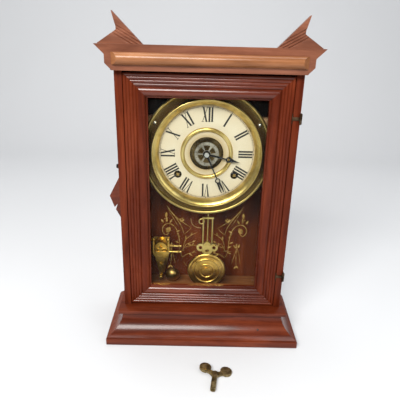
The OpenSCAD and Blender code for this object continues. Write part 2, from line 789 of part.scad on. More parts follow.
module escape_wheel() color("#c0a050") {
    bar(escape_at, pivot_r, plate_front - 3.5, plate_back + plate_t);
    bar(escape_at, 1.2, train_y + 0.3, plate_back - 0.3);
    plate(third_y - 0.3, wheel_t + 0.6) toothed(escape_at, pinion_teeth, escape_module,
        bearing(escape_at, third_at) + 180 / pinion_teeth);
    plate(plate_front - 2.6, 0.8) translate(escape_at) difference() {
        polygon([for (i = [0 : escape_teeth - 1], k = [[0, escape_r], [0.12, escape_r],
            [0.45, escape_r - 2.4], [0.9, escape_r - 2.4]])
            k[1] * [cos((i + k[0]) * 360 / escape_teeth), sin((i + k[0]) * 360 / escape_teeth)]]);
        crossings([0, 0], 3.5, escape_r - 4, 3);
    }
}

// Recoil anchor with its crutch, hung on a stud over the escape wheel
module verge() color("#707478") difference() {
    union() {
        plate(plate_front - 2.6, 0.8) translate(verge_at) {
            circle(2.4);
            both_sides_2d() polygon([[0, 1.6], [3, 1], [11.4, -9], [9.8, -15], [8.6, -15],
                [8.8, -9], [1.6, -2]]);
        }
        bar(verge_at, 2.2, crutch_y, plate_front - 2.5);
        plate(crutch_y, 1) translate(verge_at + [-0.7, -24]) square([1.4, 24]);
        // Loop around the pendulum's leader
        for (s = [-1, 1]) block([pendulum_x + s * 1.5 - 0.4, pendulum_y - 2, verge_at[1] - 25.2],
            [pendulum_x + s * 1.5 + 0.4, crutch_y + 1, verge_at[1] - 24]);
        block([pendulum_x - 1.9, crutch_y, verge_at[1] - 25.2],
            [pendulum_x + 1.9, crutch_y + 1, verge_at[1] - 23.8]);
    }
    bar(verge_at, pivot_r + running_gap, plate_front - 5, plate_front);
}

// ---- Strike ----

module strike_winding_arbor() color("#c0a050") winding_arbor(strike_at, strike_great_y - 1.2);

module strike_great_wheel() color("#c0a050")
    great_wheel(strike_at, strike_great_y, bearing(strike_at, pin_wheel_at));

module strike_pin_wheel() color("#c0a050") {
    bar(pin_wheel_at, pivot_r, plate_front, plate_back + plate_t);
    bar(pin_wheel_at, 1.2, train_y + 0.3, plate_back - 0.3);
    plate(strike_great_y - 0.2, 1.8) toothed(pin_wheel_at, centre_pinion_teeth, great_module,
        bearing(pin_wheel_at, strike_at) + 180 / centre_pinion_teeth);
    plate(spring_y + 6, wheel_t) translate(pin_wheel_at) circle(14);
    for (i = [0 : 7]) bar(pin_wheel_at + 11.5 * [cos(45 * i), sin(45 * i)], 0.7,
        spring_y + 2, spring_y + 6.5);
}

// Hammer on its arbor between the plates, with its head beside the bell
module strike_hammer() color("#8a8e92") {
    y = spring_y + 2;
    head = bell_at - [bell_r + 4, 0];
    bar(hammer_at, pivot_r, plate_front, plate_back + plate_t);
    bar(hammer_at, 1.4, train_y + 0.3, plate_back - 0.3);
    plate(y, 1.6) {
        translate(hammer_at) circle(3.2);
        translate(hammer_at) rotate(bearing(hammer_at, head)) translate([0, -0.8])
            square([norm(head - hammer_at), 1.6]);
        translate(hammer_at) rotate(-50) translate([0, -0.8]) square([11, 1.6]);
    }
    bar(head, 3.4, y - 2, y + 4);
}

module strike_bell() color("#c8ccd0") {
    y = spring_y - 3;
    translate([bell_at[0], y, bell_at[1]]) rotate([-90, 0, 0]) difference() {
        rotate_extrude($fn = 64) difference() {
            intersection() {
                translate([0, bell_r]) circle(bell_r);
                translate([0, 0]) square([bell_r, bell_r - 5]);
            }
            translate([0, bell_r]) circle(bell_r - 1.4);
        }
    }
    bar(bell_at, 2, y + 0.5, board_front);
    bar(bell_at, screw_hole_r, board_front - eps, board_front + screw_depth);
}

// ---- Pendulum ----

module pendulum_rods() color("#c8a03c") {
    // Suspension spring and leader
    block([pendulum_x - 0.2, pendulum_y - 1, verge_at[1] - 6],
        [pendulum_x + 0.2, pendulum_y + 1, verge_at[1] + 6]);
    translate([pendulum_x, pendulum_y, grid_head]) cylinder(r = 0.7, h = verge_at[1] - 5.5 - grid_head);
    // Two bars held by a cross piece
    block([pendulum_x - grid_half - 1.6, pendulum_y - 1.1, grid_head - 2],
        [pendulum_x + grid_half + 1.6, pendulum_y + 1.1, grid_head + 0.5]);
    for (s = [-1, 1]) translate([pendulum_x + s * grid_half, pendulum_y, grid_foot])
        cylinder(r = 1.2, h = grid_head - grid_foot - 1);
    translate([pendulum_x, pendulum_y, bob_z - bob_r - 3.5])
        cylinder(r = 0.8, h = grid_head - bob_z + bob_r + 3);
}

// Pierced ornament between the bars and the bob
module pendulum_casting() color("#c8a03c") difference() {
    plate(pendulum_y - 1.8, 3.6) translate([pendulum_x, casting_z]) difference() {
        union() {
            translate([0, 9]) circle(8);
            for (s = [-1, 1]) translate([s * 9, 12]) circle(6);
            translate([0, 16]) circle(5);
            translate([-5, -1]) square([10, 8]);
        }
        for (s = [-1, 1]) translate([s * 9.5, 12]) circle(2.6);
        translate([0, 7]) circle(2.4);
    }
    translate([pendulum_x, pendulum_y, casting_z - 5]) cylinder(r = 0.8, h = 40);
    for (s = [-1, 1]) translate([pendulum_x + s * grid_half, pendulum_y, grid_foot])
        cylinder(r = 1.2, h = 10);
}

module pendulum_bob() color("#d0a840") difference() {
    translate([pendulum_x, pendulum_y, bob_z]) rotate([-90, 0, 0]) rotate_extrude($fn = 96) difference() {
        union() {
            translate([0, -bob_t / 2 + 1]) square([bob_r - 1, bob_t - 2]);
            translate([bob_r - bob_t / 2 + 0.5, 0]) circle(bob_t / 2 - 0.5);
            translate([bob_r * 0.68, -bob_t / 2 + 1.2]) circle(1.6);
            translate([bob_r * 0.38, -bob_t / 2 + 1.2]) circle(1.4);
            translate([0, -bob_t / 2 - 0.6]) square([bob_r * 0.2, 3]);
        }
        translate([-20, -20]) square([20, 40]);
    }
    translate([pendulum_x, pendulum_y, bob_z - bob_r - 5]) cylinder(r = 0.8, h = 2 * bob_r + 10);
    plate(pendulum_y - 1.8, 3.6) translate([pendulum_x - 5, casting_z - 1]) square([10, 8]);
}

module rating_nut() color("#b8963c") difference() {
    translate([pendulum_x, pendulum_y, bob_z - bob_r - 3]) cylinder(r = 2.6, h = 2.4);
    translate([pendulum_x, pendulum_y, bob_z - bob_r - 6]) cylinder(r = 0.8, h = 9);
}

// ---- Alarm ----

// Two tapering plates around a barrel, with two capped posts and two levers
module alarm_frame() color("#b8963c") {
    difference() {
        union() {
            plate(alarm_front, alarm_plate_t) translate([alarm_x, alarm_z])
                polygon(both_ways(alarm_front_outline));
            plate(board_front - 8, alarm_plate_t) translate([alarm_x, alarm_z])
                polygon(both_ways(alarm_back_outline));
            for (p = alarm_feet) bar(p, 1.8, alarm_front, board_front);
            bar(alarm_barrel_at, 8.5, alarm_front + 4, board_front - 7);
            bar(alarm_barrel_at, 2.2, alarm_front - 2, alarm_front + 5);
        }
        bar(alarm_hammer_at, pivot_r + running_gap, alarm_front - 2, board_front);
    }
    for (s = [-1, 1]) translate([alarm_x + s * (alarm_half - 1.2), alarm_front + 1, alarm_z + 2]) {
        cylinder(r = 2, h = 19);
        translate([0, 0, 21]) sphere(3);
    }
    for (z = [13, 3.5]) translate([alarm_x + alarm_half - 2, alarm_front + 0.6, alarm_z + z])
        rotate([0, 90, 0]) cylinder(r = 1.2, h = 20);
}

module alarm_hammer() color("#8a8e92") {
    y = alarm_front - 2.6;
    bar(alarm_hammer_at, pivot_r, y, board_front - 7.5);
    plate(y, 1.6) translate(alarm_hammer_at) {
        circle(2.6);
        translate([-0.8, -17]) square([1.6, 17]);
    }
    translate([alarm_hammer_at[0], y - 0.7, alarm_hammer_at[1] - 19]) sphere(3);
}

module alarm_bell() color("#a8a27a") {
    y = alarm_front - 4;
    translate([alarm_bell_at[0], y, alarm_bell_at[1]]) rotate([-90, 0, 0])
        rotate_extrude($fn = 64) difference() {
        intersection() {
            translate([0, alarm_bell_r]) circle(alarm_bell_r);
            square([alarm_bell_r, alarm_bell_r - 3]);
        }
        translate([0, alarm_bell_r]) circle(alarm_bell_r - 1.2);
    }
    bar(alarm_bell_at, 1.6, y + 0.5, board_front);
    bar(alarm_bell_at, screw_hole_r, board_front - eps, board_front + screw_depth);
}

// ---- Key ----

// A hollow stem that points to the front, leaning over until one of its two wings rests
module winding_key() color("#6a5a34") translate([key_at[0], key_at[1], key_stem_r])
    rotate([0, 0, key_turn]) rotate([0, key_tilt, 0]) {
    difference() {
        translate([0, -5, 0]) rotate([90, 0, 0]) cylinder(r = key_stem_r, h = key_l - 5);
        translate([-key_square / 2, -key_l - 1, -key_square / 2]) cube([key_square, 15, key_square]);
    }
    both_sides() translate([0, 0, -key_t / 2]) {
        translate([key_w / 2 - wing_r, 0, 0]) cylinder(r = wing_r, h = key_t);
        linear_extrude(key_t) polygon([[-eps, -4], [5, -3.4], [key_w / 2 - wing_r, 4.5],
            [key_w / 2 - wing_r, -5.5], [7, -8.5], [2.6, -12.5], [-eps, -12.5]]);
    }
}

base_plinth();
base_cove_front();
base_cove_sides();
base_step_board();
case_side_left();
case_side_right();
case_floor();
case_top_board();
case_back_board();
crown_board();
crown_half_round();
crown_ornament_left();
crown_ornament_right();
side_ornament_left();
dial_blocks();
dial_pan();
dial_paper();
dial_bezel();
dial_centre_ring();
dial_screws();
hinge_case_leaves();
door_stile_left();
door_stile_right();
door_rail_top();
door_rail_bottom();
door_glass();
glass_beads();
hinge_door_leaves();
catch_knob();
movement_plate_front();
movement_plate_back();
movement_pillars();
pillar_nuts();
suspension_post();
mainsprings();
time_winding_arbor();
time_great_wheel();
centre_arbor();
minute_wheel();
hour_wheel();
third_wheel();
escape_wheel();
verge();
minute_hand();
hour_hand();
hand_nut();
alarm_disc();
strike_winding_arbor();
strike_great_wheel();
strike_pin_wheel();
strike_hammer();
strike_bell();
pendulum_rods();
pendulum_casting();
pendulum_bob();
rating_nut();
alarm_frame();
alarm_hammer();
alarm_bell();
winding_key();
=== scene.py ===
"""Mantel clock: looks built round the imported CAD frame. Metres, X right, Y back, Z up."""

import json
import math

import bmesh
import bpy
from mathutils import Matrix, Vector

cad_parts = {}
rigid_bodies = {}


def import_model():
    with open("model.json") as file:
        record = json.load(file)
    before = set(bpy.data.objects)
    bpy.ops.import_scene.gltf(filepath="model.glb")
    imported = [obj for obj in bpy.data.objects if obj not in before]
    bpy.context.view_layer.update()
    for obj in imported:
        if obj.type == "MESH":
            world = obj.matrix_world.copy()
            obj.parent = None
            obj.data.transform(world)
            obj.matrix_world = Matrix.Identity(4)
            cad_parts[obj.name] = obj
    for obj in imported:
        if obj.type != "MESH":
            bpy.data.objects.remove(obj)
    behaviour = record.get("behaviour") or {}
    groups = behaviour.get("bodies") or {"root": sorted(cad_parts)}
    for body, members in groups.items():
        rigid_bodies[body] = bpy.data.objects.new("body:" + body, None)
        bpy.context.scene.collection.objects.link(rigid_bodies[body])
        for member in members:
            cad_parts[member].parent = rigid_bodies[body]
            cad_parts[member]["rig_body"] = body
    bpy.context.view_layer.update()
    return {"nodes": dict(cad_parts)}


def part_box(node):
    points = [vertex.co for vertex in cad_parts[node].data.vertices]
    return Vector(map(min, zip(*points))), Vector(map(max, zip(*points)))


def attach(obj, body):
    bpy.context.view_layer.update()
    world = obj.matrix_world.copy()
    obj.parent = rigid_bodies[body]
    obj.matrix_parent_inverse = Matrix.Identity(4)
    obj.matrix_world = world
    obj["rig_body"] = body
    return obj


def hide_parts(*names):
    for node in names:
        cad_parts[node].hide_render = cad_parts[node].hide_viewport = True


MM = 0.001
WELD = 2e-6  # vertices closer than this become one
MERGE_ANGLE = 0.01  # radians: flatter joints between faces are dissolved before a bevel
BEVEL_ANGLE = 0.6  # radians: sharper edges are bevelled
PRINT_SINK = 0.00002  # how far a printed layer reaches into what carries it

for o in list(bpy.data.objects):
    bpy.data.objects.remove(o)
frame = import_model()
nodes = frame["nodes"]


def mid(node):
    """Middle of a node's box."""
    a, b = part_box(node)
    return (a + b) / 2


# ---- Node helpers ----


class Graph:
    """Builds one material's node tree."""

    def __init__(self, name):
        self.mat = bpy.data.materials.new(name)
        self.mat.use_nodes = True
        self.tree = self.mat.node_tree
        self.tree.nodes.clear()
        self.out = self.node("ShaderNodeOutputMaterial")

    def node(self, kind, **values):
        n = self.tree.nodes.new(kind)
        for k, v in values.items():
            setattr(n, k, v)
        return n

    def link(self, a, b):
        self.tree.links.new(a, b)

    def coords(self, scale=(1, 1, 1), offset=(0, 0, 0)):
        c = self.node("ShaderNodeTexCoord")
        m = self.node("ShaderNodeMapping")
        m.inputs["Scale"].default_value = scale
        m.inputs["Location"].default_value = offset
        self.link(c.outputs["Object"], m.inputs["Vector"])
        return m.outputs["Vector"]

    def noise(self, vector, scale, detail=4, rough=0.55, distortion=0.0):
        n = self.node("ShaderNodeTexNoise")
        n.inputs["Scale"].default_value = scale
        n.inputs["Detail"].default_value = detail
        n.inputs["Roughness"].default_value = rough
        n.inputs["Distortion"].default_value = distortion
        self.link(vector, n.inputs["Vector"])
        return n.outputs["Fac"]

    def ramp(self, fac, stops):
        r = self.node("ShaderNodeValToRGB")
        e = r.color_ramp.elements
        while len(e) < len(stops):
            e.new(0.5)
        for item, (at, colour) in zip(e, stops):
            item.position = at
            item.color = (*colour, 1)
        self.link(fac, r.inputs["Fac"])
        return r.outputs["Color"]

    def mix(self, fac, a, b, mode="MIX"):
        m = self.node("ShaderNodeMix", data_type="RGBA", blend_type=mode)
        if isinstance(fac, float):
            m.inputs[0].default_value = fac
        else:
            self.link(fac, m.inputs[0])
        for socket, v in ((m.inputs[6], a), (m.inputs[7], b)):
            if isinstance(v, tuple):
                socket.default_value = (*v, 1)
            else:
                self.link(v, socket)
        return m.outputs[2]

    def span(self, fac, lo, hi, from_lo=0.3, from_hi=0.7):
        r = self.node("ShaderNodeMapRange")
        for k, v in zip(("From Min", "From Max", "To Min", "To Max"), (from_lo, from_hi, lo, hi)):
            r.inputs[k].default_value = v
        self.link(fac, r.inputs["Value"])
        return r.outputs["Result"]

    def math(self, op, a, b=None):
        m = self.node("ShaderNodeMath", operation=op)
        for socket, v in zip(m.inputs, (a, b)):
            if v is None:
                continue
            if isinstance(v, (int, float)):
                socket.default_value = v
            else:
                self.link(v, socket)
        return m.outputs[0]

    def bump(self, height, strength, distance):
        b = self.node("ShaderNodeBump")
        b.inputs["Strength"].default_value = strength
        b.inputs["Distance"].default_value = distance
        self.link(height, b.inputs["Height"])
        return b.outputs["Normal"]

    def surface(self, colour, rough, normal=None, **values):
        p = self.node("ShaderNodeBsdfPrincipled")
        self.link(colour, p.inputs["Base Color"])
        if isinstance(rough, float):
            p.inputs["Roughness"].default_value = rough
        else:
            self.link(rough, p.inputs["Roughness"])
        if normal is not None:
            self.link(normal, p.inputs["Normal"])
        for k, v in values.items():
            p.inputs[k.replace("_", " ")].default_value = v
        self.link(p.outputs[0], self.out.inputs["Surface"])
        return self.mat


GRAIN = {"x": (0.12, 1, 1), "y": (1, 0.12, 1), "z": (1, 1, 0.12)}


def wood(name, dark, middle, light, along, rough=(0.3, 0.5), coat=0.35, figure=60, seed=0.0, dust=0.0):
    g = Graph(name)
    v = g.coords(GRAIN[along], (seed, seed * 0.7, seed * 0.3))
    broad = g.noise(v, figure, 6, 0.6, 0.6)
    streak = g.noise(v, figure * 9, 5, 0.7, 0.1)
    colour = g.ramp(broad, [(0.3, dark), (0.5, middle), (0.72, light)])
    colour = g.mix(g.span(streak, 0.0, 0.4, 0.38, 0.75), colour, dark)
    blotch = g.noise(g.coords((1, 1, 1), (seed, 0, 0)), 9, 3, 0.5)
    colour = g.mix(g.span(blotch, 0.0, 0.4, 0.4, 0.8), colour, tuple(c * 0.4 for c in dark))
    scuff = g.noise(g.coords((1, 1, 1), (0, seed, 0)), 190, 4, 0.75)
    colour = g.mix(g.span(scuff, 0.0, 0.4, 0.68, 0.76), colour, light)
    if dust:
        colour = g.mix(g.span(blotch, dust * 0.4, dust, 0.35, 0.7), colour, (0.42, 0.36, 0.31))
    r = g.span(g.noise(g.coords(), 38, 5, 0.6), rough[0], rough[1])
    n = g.bump(streak, 0.12, 0.0004)
    return g.surface(colour, r, n, Coat_Weight=coat, Coat_Roughness=0.2, Specular_IOR_Level=0.06)


def metal(name, dark, middle, light, rough=(0.18, 0.38), size=45, metallic=1.0, grain=0.02, speck_share=0.35):
    g = Graph(name)
    v = g.coords()
    patch = g.noise(v, size, 6, 0.6, 0.3)
    speck = g.noise(v, size * 12, 4, 0.7)
    colour = g.ramp(patch, [(0.34, dark), (0.5, middle), (0.66, light)])
    colour = g.mix(g.span(speck, 0.0, speck_share, 0.62, 0.76), colour, dark)
    r = g.span(g.noise(v, size * 3, 5, 0.6), rough[0], rough[1])
    return g.surface(colour, r, g.bump(speck, grain, 0.0002), Metallic=metallic)


def matte(name, dark, middle, light, rough=(0.6, 0.85), size=70, bump=0.1):
    g = Graph(name)
    v = g.coords()
    patch = g.noise(v, size, 6, 0.65)
    fine = g.noise(v, size * 14, 4, 0.7)
    colour = g.ramp(patch, [(0.3, dark), (0.52, middle), (0.72, light)])
    r = g.span(fine, rough[0], rough[1])
    return g.surface(colour, r, g.bump(fine, bump, 0.0002))


# ---- Materials ----

CASE = ((0.046, 0.0065, 0.002), (0.100, 0.0155, 0.0045), (0.165, 0.031, 0.010))
BASE = ((0.044, 0.0065, 0.002), (0.110, 0.018, 0.005), (0.195, 0.038, 0.011))
CROWN = ((0.095, 0.027, 0.012), (0.185, 0.062, 0.031), (0.29, 0.112, 0.062))
# lighter than the crown's wood: painted highlight where the half-round catches the top light
HALF_ROUND_SHEEN = ((0.14, 0.050, 0.017), (0.27, 0.105, 0.040), (0.40, 0.18, 0.08))
INNER = ((0.050, 0.009, 0.003), (0.145, 0.030, 0.009), (0.24, 0.060, 0.018))

case_z = wood("case_wood_upright", *CASE, along="z", rough=(0.28, 0.45), coat=0.1, seed=1.3)
door_z = wood("door_wood_upright", *CASE, along="z", rough=(0.22, 0.38), coat=0.14, seed=2.1, figure=75)
door_x = wood("door_wood_level", *CASE, along="x", rough=(0.22, 0.38), coat=0.85, seed=3.7, figure=75)
base_x = wood("base_wood_level", *BASE, along="x", rough=(0.16, 0.3), coat=0.42, seed=4.9)
base_y = wood("base_wood_side", *BASE, along="y", rough=(0.16, 0.3), coat=0.42, seed=5.9)
crown_x = wood("crown_wood", *CROWN, along="x", rough=(0.34, 0.5), coat=0.2, seed=6.1, dust=0.05)
top_y = wood("top_wood", *CASE, along="x", rough=(0.5, 0.7), coat=0.1, seed=6.9, dust=0.3)
# the half-round's lighter colour is painted highlight from above
half_round_sheen = wood("half_round_painted_sheen", *HALF_ROUND_SHEEN, along="x", rough=(0.3, 0.45), coat=0.45, seed=7.7)
inner_z = wood("inner_wood_upright", *INNER, along="z", rough=(0.5, 0.7), coat=0.05, seed=8.3)
inner_x = wood("inner_wood_level", (0.13, 0.042, 0.014), (0.27, 0.10, 0.036), (0.38, 0.16, 0.065),
               along="x", rough=(0.5, 0.7), coat=0.05, seed=9.1)
raw_x = wood("raw_wood", (0.16, 0.08, 0.04), (0.28, 0.16, 0.085), (0.38, 0.24, 0.14), along="x",
             rough=(0.65, 0.85), coat=0.0, seed=9.9)
brass = metal("brass_polished", (0.42, 0.29, 0.085), (0.62, 0.46, 0.155), (0.78, 0.61, 0.25), (0.29, 0.35),
              grain=0.004, speck_share=0.1)
brass_bob = metal("brass_bob", (0.42, 0.24, 0.05), (0.70, 0.44, 0.11), (0.86, 0.60, 0.20), (0.26, 0.38),
                  size=28, grain=0.006, speck_share=0.15)
brass_old = metal("brass_aged", (0.17, 0.10, 0.028), (0.40, 0.26, 0.085), (0.60, 0.42, 0.16), (0.28, 0.45))
brass_work = metal("brass_movement", (0.10, 0.065, 0.025), (0.22, 0.15, 0.06), (0.34, 0.24, 0.10),
                   (0.35, 0.55))
alarm_brass = metal("brass_alarm", (0.48, 0.28, 0.045), (0.78, 0.50, 0.11), (0.92, 0.68, 0.22), (0.28, 0.42),
                    size=28, grain=0.006, speck_share=0.15)
hinge_metal = metal("hinge_bronze", (0.020, 0.013, 0.008), (0.060, 0.036, 0.020), (0.13, 0.085, 0.05),
                    (0.35, 0.55), size=120)
key_brass = metal("key_bronze", (0.085, 0.060, 0.026), (0.25, 0.185, 0.085), (0.45, 0.36, 0.19), (0.35, 0.6),
                  size=160, grain=0.08, speck_share=0.7)
silver = metal("silvered", (0.34, 0.33, 0.31), (0.56, 0.56, 0.54), (0.72, 0.72, 0.70), (0.25, 0.45))
disc_silver = metal("silvered_disc", (0.24, 0.22, 0.17), (0.44, 0.40, 0.32), (0.60, 0.56, 0.46), (0.3, 0.5))
steel = metal("steel", (0.22, 0.21, 0.20), (0.42, 0.42, 0.42), (0.62, 0.62, 0.62), (0.22, 0.42))
blued = metal("spring_steel", (0.03, 0.035, 0.05), (0.08, 0.09, 0.12), (0.16, 0.17, 0.2), (0.25, 0.45))
black = metal("blackened", (0.004, 0.004, 0.005), (0.012, 0.012, 0.013), (0.035, 0.033, 0.032), (0.3, 0.5),
              size=120, metallic=0.4)
ink = matte("ink", (0.006, 0.006, 0.006), (0.014, 0.013, 0.012), (0.04, 0.036, 0.03))
ink_worn = matte("ink_worn", (0.03, 0.025, 0.02), (0.07, 0.06, 0.048), (0.15, 0.125, 0.10), size=240)
gilt = metal("gilt", (0.17, 0.085, 0.015), (0.38, 0.21, 0.045), (0.62, 0.40, 0.12), (0.3, 0.5), size=200,
             metallic=0.7)


def radial(g, vector, centre, unit):
    """Distance from the dial's axis, as a share of the unit."""
    split = g.node("ShaderNodeSeparateXYZ")
    g.link(vector, split.inputs[0])
    dx = g.math("SUBTRACT", split.outputs["X"], centre.x)
    dz = g.math("SUBTRACT", split.outputs["Z"], centre.z)
    r2 = g.math("ADD", g.math("MULTIPLY", dx, dx), g.math("MULTIPLY", dz, dz))
    return g.math("MULTIPLY", g.math("SQRT", r2), 1 / unit)


TONE_SPAN = 0.07  # metres from the dial's axis at which the card's tones end


def dial_card():
    """Old card: cream, browner towards the bezel and the centre, with faint spots."""
    g = Graph("dial_card")
    v = g.coords()
    radius = radial(g, v, mid("dial_paper"), TONE_SPAN)
    tone = g.ramp(radius, [
        (0.29, (0.36, 0.25, 0.11)), (0.36, (0.50, 0.40, 0.25)), (0.43, (0.57, 0.49, 0.36)),
        (0.62, (0.62, 0.55, 0.42)), (0.82, (0.59, 0.51, 0.38)), (0.885, (0.36, 0.27, 0.15))])
    cloud = g.noise(v, 26, 6, 0.6)
    tone = g.mix(g.span(cloud, 0.0, 0.45, 0.42, 0.75), tone, (0.55, 0.44, 0.29))
    spot = g.noise(v, 420, 3, 0.7)
    tone = g.mix(g.span(spot, 0.0, 0.5, 0.66, 0.76), tone, (0.34, 0.24, 0.14))
    rough = g.span(spot, 0.55, 0.75)
    return g.surface(tone, rough, g.bump(cloud, 0.1, 0.0006))


def pan_brass():
    """Pan: bright worn rim; the flat between the rim and the bezel is dark brown, partly tarnish and partly
    painted shade from the bezel.
    """
    g = Graph("pan_brass")
    v = g.coords()
    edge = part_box("dial_pan")
    radius = radial(g, v, mid("dial_pan"), (edge[1].x - edge[0].x) / 2)
    # the dark flat out to the rim: tarnish, and painted shade under the bezel's edge
    tone = g.ramp(radius, [
        (0.30, (0.05, 0.032, 0.012)), (0.90, (0.095, 0.052, 0.017)), (0.935, (0.15, 0.095, 0.03)),
        (0.955, (0.50, 0.37, 0.12)), (1.0, (0.62, 0.47, 0.17))])
    cloud = g.noise(v, 60, 6, 0.65)
    tone = g.mix(g.span(cloud, 0.0, 0.6, 0.42, 0.72), tone, (0.09, 0.055, 0.02))
    return g.surface(tone, g.span(cloud, 0.28, 0.48), g.bump(cloud, 0.01, 0.0002), Metallic=1.0)


def pane():
    """Clear old glass with a faint haze: mostly see-through, with a thin shine."""
    g = Graph("pane_glass")
    clear = g.node("ShaderNodeBsdfTransparent")
    clear.inputs["Color"].default_value = (0.95, 0.96, 0.94, 1)
    shine = g.node("ShaderNodeBsdfPrincipled")
    haze = g.noise(g.coords(), 55, 5, 0.6)
    g.link(g.ramp(haze, [(0.4, (0.05, 0.05, 0.05)), (0.7, (0.10, 0.10, 0.095))]), shine.inputs["Base Color"])
    g.link(g.span(haze, 0.02, 0.07), shine.inputs["Roughness"])
    share = g.node("ShaderNodeMixShader")
    g.link(g.span(g.noise(g.coords(), 14, 3, 0.5), 0.02, 0.035), share.inputs[0])
    g.link(clear.outputs[0], share.inputs[1])
    g.link(shine.outputs[0], share.inputs[2])
    g.link(share.outputs[0], g.out.inputs["Surface"])
    return g.mat


card = dial_card()
brass_pan = pan_brass()
glass = pane()

# ---- Piece helpers ----


def shade(o, angle=35):
    """Smooth shading, with edges past the angle in degrees kept crisp."""
    for p in o.data.polygons:
        p.use_smooth = True
    bm = bmesh.new()
    bm.from_mesh(o.data)
    bmesh.ops.remove_doubles(bm, verts=bm.verts, dist=WELD)
    limit = math.radians(angle)
    for e in bm.edges:
        e.smooth = len(e.link_faces) == 2 and e.calc_face_angle(0) < limit
    bm.to_mesh(o.data)
    bm.free()


def dress(node, material, bevel=0.0, angle=35):
    """A finished copy of a CAD node, standing for it; the bevel is in millimetres."""
    src = nodes[node]
    o = bpy.data.objects.new(node + "_look", src.data.copy())
    bpy.context.scene.collection.objects.link(o)
    o.data.materials.clear()
    o.data.materials.append(material)
    shade(o, angle)
    if bevel:
        bm = bmesh.new()
        bm.from_mesh(o.data)
        bmesh.ops.dissolve_limit(bm, angle_limit=MERGE_ANGLE, verts=bm.verts, edges=bm.edges)
        edges = [e for e in bm.edges if len(e.link_faces) == 2 and e.calc_face_angle(0) > BEVEL_ANGLE]
        bmesh.ops.bevel(bm, geom=edges, offset=bevel * MM, segments=2, profile=0.6, affect="EDGES",
                        clamp_overlap=True)
        bm.to_mesh(o.data)
        bm.free()
        shade(o, 40)
    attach(o, src["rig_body"])
    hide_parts(node)
    return o


def paint(node, material, angle=35):
    """A dressed node with its edges left as they are."""
    return dress(node, material, 0.0, angle)


def mesh_piece(name, verts, faces, material, body, smooth=False):
    m = bpy.data.meshes.new(name)
    m.from_pydata([tuple(v) for v in verts], [], faces)
    m.update()
    m.materials.append(material)
    o = bpy.data.objects.new(name, m)
    bpy.context.scene.collection.objects.link(o)
    if smooth:
        shade(o, 50)
    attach(o, body)
    return o


class Sheet:
    """Collects thin raised shapes drawn in the front view, each between two depths."""

    def __init__(self, y_front, y_back):
        self.y = (y_front, y_back)
        self.verts, self.faces = [], []

    def outline(self, points):
        area = sum(a[0] * b[1] - b[0] * a[1] for a, b in zip(points, points[1:] + points[:1]))
        if area < 0:
            points = points[::-1]
        n, k = len(points), len(self.verts)
        for y in self.y:
            self.verts += [(p[0], y, p[1]) for p in points]
        self.faces.append(tuple(range(k, k + n)))
        self.faces.append(tuple(range(k + 2 * n - 1, k + n - 1, -1)))
        for i in range(n):
            j = (i + 1) % n
            self.faces.append((k + i, k + n + i, k + n + j, k + j))

    def stroke(self, points, widths):
        """A line of changing width through the points."""
        left, right = [], []
        for i, p in enumerate(points):
            a, b = points[max(i - 1, 0)], points[min(i + 1, len(points) - 1)]
            dx, dz = b[0] - a[0], b[1] - a[1]
            d = math.hypot(dx, dz) or 1
            w = widths[min(i, len(widths) - 1)] / 2
            left.append((p[0] - dz / d * w, p[1] + dx / d * w))
            right.append((p[0] + dz / d * w, p[1] - dx / d * w))
        for i in range(len(points) - 1):
            self.outline([left[i], right[i], right[i + 1], left[i + 1]])

    def disc(self, at, r, sides=12):
        turns = [2 * math.pi * i / sides for i in range(sides)]
        self.outline([(at[0] + r * math.cos(a), at[1] + r * math.sin(a)) for a in turns])

    def ring(self, at, r, width, sides=120):
        for i in range(sides):
            pts = []
            for rr, k in ((r, i), (r + width, i), (r + width, i + 1), (r, i + 1)):
                a = 2 * math.pi * k / sides
                pts.append((at[0] + rr * math.cos(a), at[1] + rr * math.sin(a)))
            self.outline(pts)

    def done(self, name, material, body):
        return mesh_piece(name, self.verts, self.faces, material, body)


def lathe(node, profile, material, sides=240):
    """A finely turned ring about the dial's axis that stands for a CAD ring; profile is (radius, depth)."""
    c = mid(node)
    verts, faces = [], []
    n = len(profile)
    for k in range(sides):
        a = 2 * math.pi * k / sides
        verts += [(c.x + r * math.cos(a), y, c.z + r * math.sin(a)) for r, y in profile]
    for k in range(sides):
        for i in range(n):
            a, b = k * n, (k + 1) % sides * n
            j = (i + 1) % n
            faces.append((a + i, a + j, b + j, b + i))
    o = mesh_piece(node + "_turned", verts, faces, material, nodes[node]["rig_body"], True)
    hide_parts(node)
    return o


def arc(centre, r, start, end, steps):
    """Points on an arc of a section, angles in degrees from the outward direction to the back."""
    turns = [math.radians(start + (end - start) * i / steps) for i in range(steps + 1)]
    return [(centre[0] + r * math.cos(a), centre[1] + r * math.sin(a)) for a in turns]


# ---- Woodwork ----

for n in ("base_plinth", "base_step_board"):
    dress(n, base_x, 0.9)
paint("base_cove_front", base_x, 30)
paint("base_cove_sides", base_y, 30)
for n in ("case_side_left", "case_side_right"):
    dress(n, case_z, 0.8)
dress("case_top_board", top_y, 0.8)
dress("case_back_board", inner_z, 0.5)
dress("case_floor", inner_x, 0.6)
dress("crown_board", crown_x, 0.5)
paint("crown_half_round", half_round_sheen)
for n in ("crown_ornament_left", "crown_ornament_right"):
    dress(n, crown_x, 0.35)
dress("side_ornament_left", base_x, 0.3)
for n in ("door_stile_left", "door_stile_right"):
    paint(n, door_z, 40)
for n in ("door_rail_top", "door_rail_bottom"):
    paint(n, door_x, 40)
dress("glass_beads", inner_x, 0.4)
dress("dial_blocks", raw_x, 0.6)
paint("door_glass", glass)

# ---- Metalwork ----

for n in ("pendulum_rods", "pendulum_casting", "rating_nut"):
    paint(n, brass)

